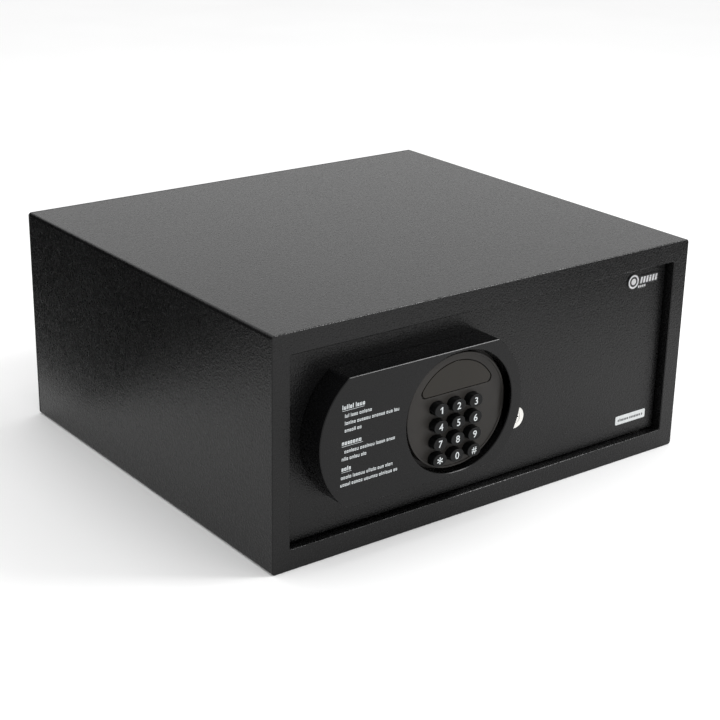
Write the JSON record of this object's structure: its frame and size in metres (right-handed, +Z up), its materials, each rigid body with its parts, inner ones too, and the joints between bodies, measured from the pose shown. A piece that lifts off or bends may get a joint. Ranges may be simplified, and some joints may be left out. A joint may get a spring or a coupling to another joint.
{
  "type": "in-room safe",
  "caption": "Low black sheet-steel room safe with a flush hinged door, raised stadium-shaped lock housing, round keypad with a half-moon display, and a motor bolt lock behind the door.",
  "frame": {"origin": "centre of the cabinet's underside", "axes": "+Z up; the door faces -Y; +X to the right seen from the front"},
  "size_m": [0.45, 0.4195, 0.2],
  "materials": {
    "powder_coat": "black wrinkle powder coat",
    "dark_steel": "black paint, satin",
    "plated_steel": "zinc plated",
    "bright_steel": "ground and plated",
    "brass": "turned",
    "felt": "needle felt",
    "housing_plastic": "moulded black, fine satin",
    "bezel_plastic": "moulded, satin",
    "smoked_lens": "smoked acrylic",
    "display_plastic": "filter red",
    "key_plastic": "moulded dark grey",
    "nylon": "natural nylon",
    "silicone": "soft",
    "circuit_board": "solder mask",
    "lead_plastic": "flexible",
    "motor_steel": "plated can",
    "lock_nickel": "satin nickel",
    "cell_wrap": "printed sleeve, plain",
    "contact_nickel": "nickel plated spring strip",
    "badge_metal": "black anodised, satin",
    "label_film": "white film"
  },
  "bodies": {
    "cabinet": {"body_shell": "powder_coat", "rear_panel": "powder_coat", "door_frame": "powder_coat", "hinge_brackets": "dark_steel", "hinge_bushes": "brass", "floor_mat": "felt"},
    "door": {"door_plate": "powder_coat", "hinge_blocks": "dark_steel", "upper_hinge_pin": "bright_steel", "lower_hinge_pin": "bright_steel", "thrust_washer": "nylon", "lock_housing": "housing_plastic", "housing_screws": "plated_steel", "keypad_bezel": "bezel_plastic", "display_lens": "smoked_lens", "display_module": "display_plastic", "key_membrane": "silicone", "keypad_board": "circuit_board", "keypad_cable": "lead_plastic", "lock_barrel": "lock_nickel", "lock_nut": "plated_steel", "bolt_guide": "plated_steel", "bolt_bushes": "nylon", "guide_studs": "plated_steel", "motor_bracket": "plated_steel", "gear_motor": "motor_steel", "motor_leads": "lead_plastic", "control_board": "circuit_board", "battery_tray": "housing_plastic", "battery_contacts": "contact_nickel", "battery_cells": "cell_wrap", "battery_leads": "lead_plastic", "inner_cover": "powder_coat", "cover_pillars": "plated_steel", "cover_screws": "plated_steel", "badge_plate": "badge_metal", "serial_label": "label_film"},
    "bolts": {"bolt_carriage": "plated_steel", "upper_bolt": "bright_steel", "lower_bolt": "bright_steel", "bolt_screws": "plated_steel"},
    "pinion": {"drive_pinion": "brass", "output_shaft": "bright_steel"},
    "override": {"lock_plug": "lock_nickel", "lock_cam": "plated_steel", "cam_screw": "plated_steel"},
    "battery_hatch": {"battery_cover": "housing_plastic"},
    "key_1_button": {"key_1": "key_plastic"},
    "key_2_button": {"key_2": "key_plastic"},
    "key_3_button": {"key_3": "key_plastic"},
    "key_4_button": {"key_4": "key_plastic"},
    "key_5_button": {"key_5": "key_plastic"},
    "key_6_button": {"key_6": "key_plastic"},
    "key_7_button": {"key_7": "key_plastic"},
    "key_8_button": {"key_8": "key_plastic"},
    "key_9_button": {"key_9": "key_plastic"},
    "key_star_button": {"key_star": "key_plastic"},
    "key_0_button": {"key_0": "key_plastic"},
    "key_hash_button": {"key_hash": "key_plastic"}
  },
  "joints": [
    {"name": "door_hinge", "type": "hinge", "parent": "cabinet", "child": "door", "pos_m": [0.1915, -0.184, 0.1], "axis": [0, 0, 1], "range_deg": [0, 100]},
    {"name": "bolt_slide", "type": "slide", "parent": "door", "child": "bolts", "axis": [-1, 0, 0], "range_m": [0, 0.015]},
    {"name": "pinion_turn", "type": "hinge", "parent": "door", "child": "pinion", "pos_m": [-0.06, -0.1575, 0.1261], "axis": [0, 1, 0], "range_deg": [0, 96]},
    {"name": "override_turn", "type": "hinge", "parent": "door", "child": "override", "pos_m": [0.029, -0.18, 0.072], "axis": [0, 1, 0], "range_deg": [0, 90]},
    {"name": "battery_hatch_pull", "type": "slide", "parent": "door", "child": "battery_hatch", "axis": [0, 1, 0], "range_m": [0, 0.03]},
    {"name": "key_1_press", "type": "slide", "parent": "door", "child": "key_1_button", "axis": [0, 1, 0], "range_m": [0, 0.0015], "stiffness_N_per_m": 400, "springref_m": -0.0005},
    {"name": "key_2_press", "type": "slide", "parent": "door", "child": "key_2_button", "axis": [0, 1, 0], "range_m": [0, 0.0015], "stiffness_N_per_m": 400, "springref_m": -0.0005},
    {"name": "key_3_press", "type": "slide", "parent": "door", "child": "key_3_button", "axis": [0, 1, 0], "range_m": [0, 0.0015], "stiffness_N_per_m": 400, "springref_m": -0.0005},
    {"name": "key_4_press", "type": "slide", "parent": "door", "child": "key_4_button", "axis": [0, 1, 0], "range_m": [0, 0.0015], "stiffness_N_per_m": 400, "springref_m": -0.0005},
    {"name": "key_5_press", "type": "slide", "parent": "door", "child": "key_5_button", "axis": [0, 1, 0], "range_m": [0, 0.0015], "stiffness_N_per_m": 400, "springref_m": -0.0005},
    {"name": "key_6_press", "type": "slide", "parent": "door", "child": "key_6_button", "axis": [0, 1, 0], "range_m": [0, 0.0015], "stiffness_N_per_m": 400, "springref_m": -0.0005},
    {"name": "key_7_press", "type": "slide", "parent": "door", "child": "key_7_button", "axis": [0, 1, 0], "range_m": [0, 0.0015], "stiffness_N_per_m": 400, "springref_m": -0.0005},
    {"name": "key_8_press", "type": "slide", "parent": "door", "child": "key_8_button", "axis": [0, 1, 0], "range_m": [0, 0.0015], "stiffness_N_per_m": 400, "springref_m": -0.0005},
    {"name": "key_9_press", "type": "slide", "parent": "door", "child": "key_9_button", "axis": [0, 1, 0], "range_m": [0, 0.0015], "stiffness_N_per_m": 400, "springref_m": -0.0005},
    {"name": "key_star_press", "type": "slide", "parent": "door", "child": "key_star_button", "axis": [0, 1, 0], "range_m": [0, 0.0015], "stiffness_N_per_m": 400, "springref_m": -0.0005},
    {"name": "key_0_press", "type": "slide", "parent": "door", "child": "key_0_button", "axis": [0, 1, 0], "range_m": [0, 0.0015], "stiffness_N_per_m": 400, "springref_m": -0.0005},
    {"name": "key_hash_press", "type": "slide", "parent": "door", "child": "key_hash_button", "axis": [0, 1, 0], "range_m": [0, 0.0015], "stiffness_N_per_m": 400, "springref_m": -0.0005}
  ],
  "couplings": [
    {"joint": "pinion_turn", "follows": "bolt_slide", "rad_per_m": 111.11}
  ]
}
